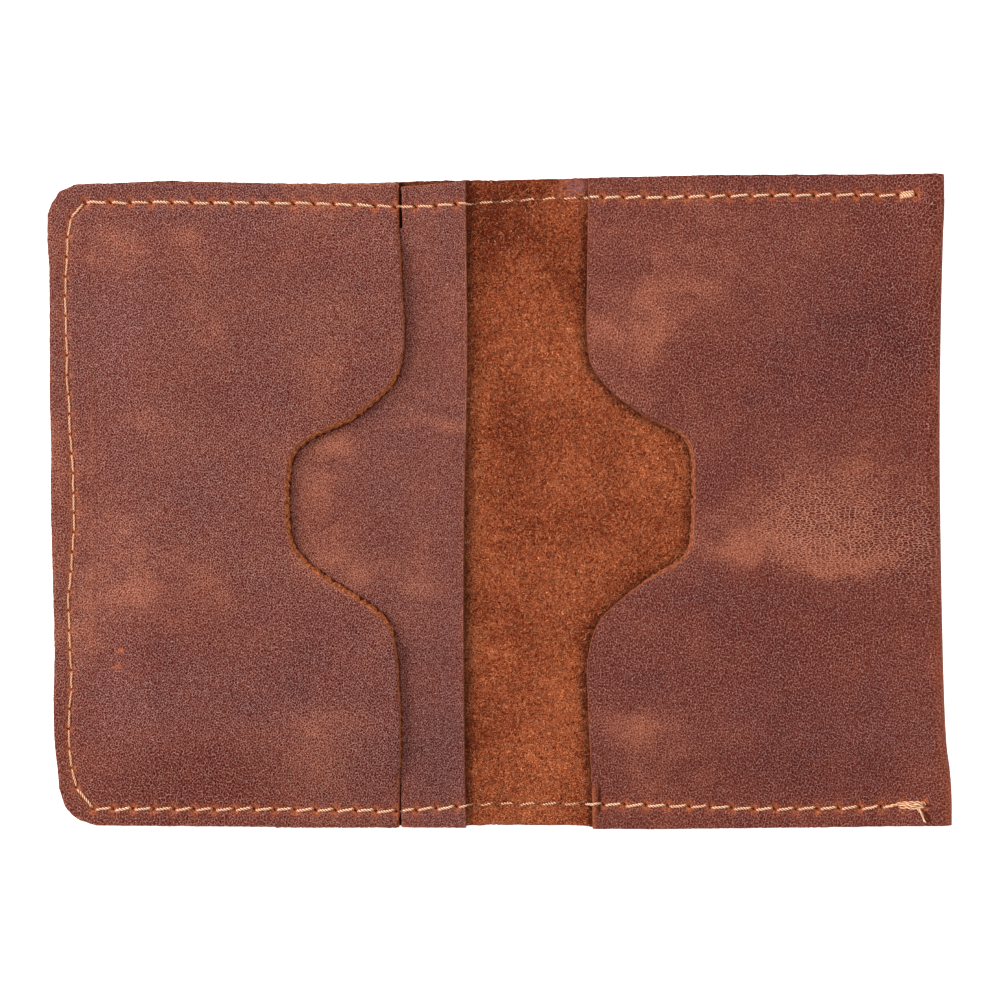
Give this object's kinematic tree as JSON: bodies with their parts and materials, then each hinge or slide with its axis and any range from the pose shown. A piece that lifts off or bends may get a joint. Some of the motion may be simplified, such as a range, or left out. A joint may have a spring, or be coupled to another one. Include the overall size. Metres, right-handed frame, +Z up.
{
  "type": "passport holder wallet",
  "caption": "Leather passport wallet that folds like a book, with a card pocket and a passport pocket, thumb notches and a lockstitched edge.",
  "frame": {"origin": "on the table, under the middle of the spine of the wallet laid open", "axes": "+X to the passport pocket, +Y to the top edge, +Z up out of the inside face"},
  "size_m": [0.195, 0.141, 0.0054],
  "materials": {
    "leather": "matt pull-up leather",
    "thread": "waxed sewing thread"
  },
  "bodies": {
    "left_half": {"cover_left": "leather", "divider_panel": "leather", "divider_tab_top": "leather", "divider_tab_bottom": "leather", "card_pocket_panel": "leather", "needle_thread_left": "thread", "bobbin_thread_left": "thread"},
    "spine": {"cover_spine": "leather", "needle_thread_spine": "thread", "bobbin_thread_spine": "thread"},
    "right_half": {"cover_right": "leather", "cover_edge_fold_lower": "leather", "cover_edge_fold_upper": "leather", "cover_flap": "leather", "needle_thread_right": "thread", "bobbin_thread_right": "thread"}
  },
  "joints": [
    {"name": "fold_left", "type": "hinge", "parent": "spine", "child": "left_half", "pos_m": [-0.0037, 0, 0.0012], "axis": [0, 1, 0], "range_deg": [0, 90]},
    {"name": "fold_right", "type": "hinge", "parent": "spine", "child": "right_half", "pos_m": [0.0037, 0, 0.0012], "axis": [0, -1, 0], "range_deg": [0, 90]}
  ]
}
